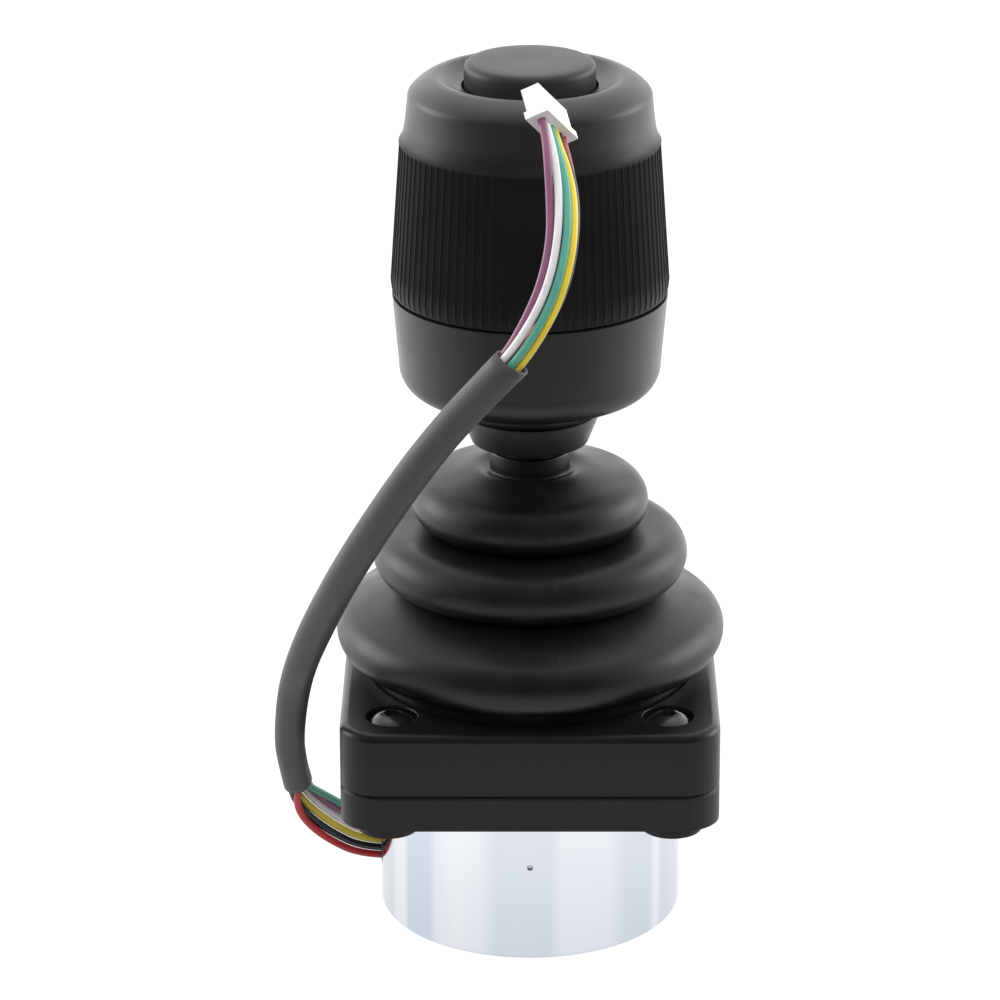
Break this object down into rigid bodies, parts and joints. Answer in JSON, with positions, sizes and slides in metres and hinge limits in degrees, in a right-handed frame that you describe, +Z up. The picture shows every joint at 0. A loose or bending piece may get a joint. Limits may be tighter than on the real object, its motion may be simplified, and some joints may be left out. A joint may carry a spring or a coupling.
{
  "type": "industrial joystick",
  "caption": "Panel joystick with a square flange on a metal can, folded rubber boot, sprung two-axis tilt, ribbed twist grip, push button and a sleeved wire harness.",
  "frame": {"origin": "middle of the can's flat base", "axes": "+Z up along the stick, -Y to the front, harness on the -X side"},
  "size_m": [0.0722, 0.0941, 0.1522],
  "materials": {
    "can_steel": "bright polished sheet",
    "flange_black": "moulded black, fine grain",
    "bezel_black": "moulded black, semi-gloss",
    "screw_black": "blackened steel",
    "boot_rubber": "matt black rubber",
    "steel": "ground steel",
    "spring_steel": "drawn spring wire",
    "cast_alloy": "die cast",
    "bush_bronze": "sintered bronze",
    "magnet_plate": "nickel plated",
    "board_green": "solder resist",
    "inner_black": "moulded black",
    "knob_black": "satin charcoal moulding",
    "sleeve_grey": "soft dark grey sleeving",
    "connector_white": "natural white nylon",
    "wire_purple": "wire insulation",
    "wire_white": "wire insulation",
    "wire_green": "wire insulation",
    "wire_yellow": "wire insulation",
    "wire_black": "wire insulation",
    "wire_red": "wire insulation"
  },
  "bodies": {
    "base": {"can_housing": "can_steel", "board_spacer": "inner_black", "sensor_board": "board_green", "hall_sensor": "inner_black", "gimbal_housing": "cast_alloy", "housing_bushes": "bush_bronze", "mounting_flange": "flange_black", "bezel": "bezel_black", "bezel_screws": "screw_black", "boot": "boot_rubber", "return_spring_x": "spring_steel", "cable_grommet": "boot_rubber", "cable_sleeve": "sleeve_grey", "connector_housing": "connector_white", "wire_purple": "wire_purple", "wire_white": "wire_white", "wire_green": "wire_green", "wire_yellow": "wire_yellow", "wire_black": "wire_black", "wire_red": "wire_red"},
    "gimbal": {"gimbal_ring": "cast_alloy", "ring_pins": "steel", "ring_bushes": "bush_bronze", "return_spring_y": "spring_steel"},
    "stick": {"pivot_block": "cast_alloy", "block_pins": "steel", "shaft": "steel", "shaft_nut": "steel", "magnet_holder": "inner_black", "stick_magnet": "magnet_plate", "knob_collar": "knob_black", "knob_base": "knob_black", "twist_board": "board_green", "twist_sensor": "inner_black", "twist_spring": "spring_steel", "hub_clip": "steel", "switch_board": "board_green", "switch_body": "inner_black"},
    "grip": {"twist_grip": "knob_black", "grip_bush": "bush_bronze", "twist_magnet": "magnet_plate", "button_spring": "spring_steel"},
    "button": {"push_button": "knob_black", "button_clip": "steel", "switch_plunger": "inner_black"}
  },
  "joints": [
    {"name": "tilt_x", "type": "hinge", "parent": "base", "child": "gimbal", "pos_m": [0, 0, 0.02795], "axis": [1, 0, 0], "range_deg": [-20, 20], "stiffness_Nm_per_rad": 1.6, "deforming": ["boot", "return_spring_x"]},
    {"name": "tilt_y", "type": "hinge", "parent": "gimbal", "child": "stick", "pos_m": [0, 0, 0.02795], "axis": [0, 1, 0], "range_deg": [-20, 20], "stiffness_Nm_per_rad": 1.6, "deforming": ["boot", "return_spring_y"]},
    {"name": "twist", "type": "hinge", "parent": "stick", "child": "grip", "pos_m": [0, 0, 0.1], "axis": [0, 0, 1], "range_deg": [-45, 45], "stiffness_Nm_per_rad": 0.25, "deforming": ["twist_spring"]},
    {"name": "press", "type": "slide", "parent": "grip", "child": "button", "axis": [0, 0, -1], "range_m": [0, 0.0015], "stiffness_N_per_m": 1200, "springref_m": -0.0015, "deforming": ["button_spring"]}
  ]
}
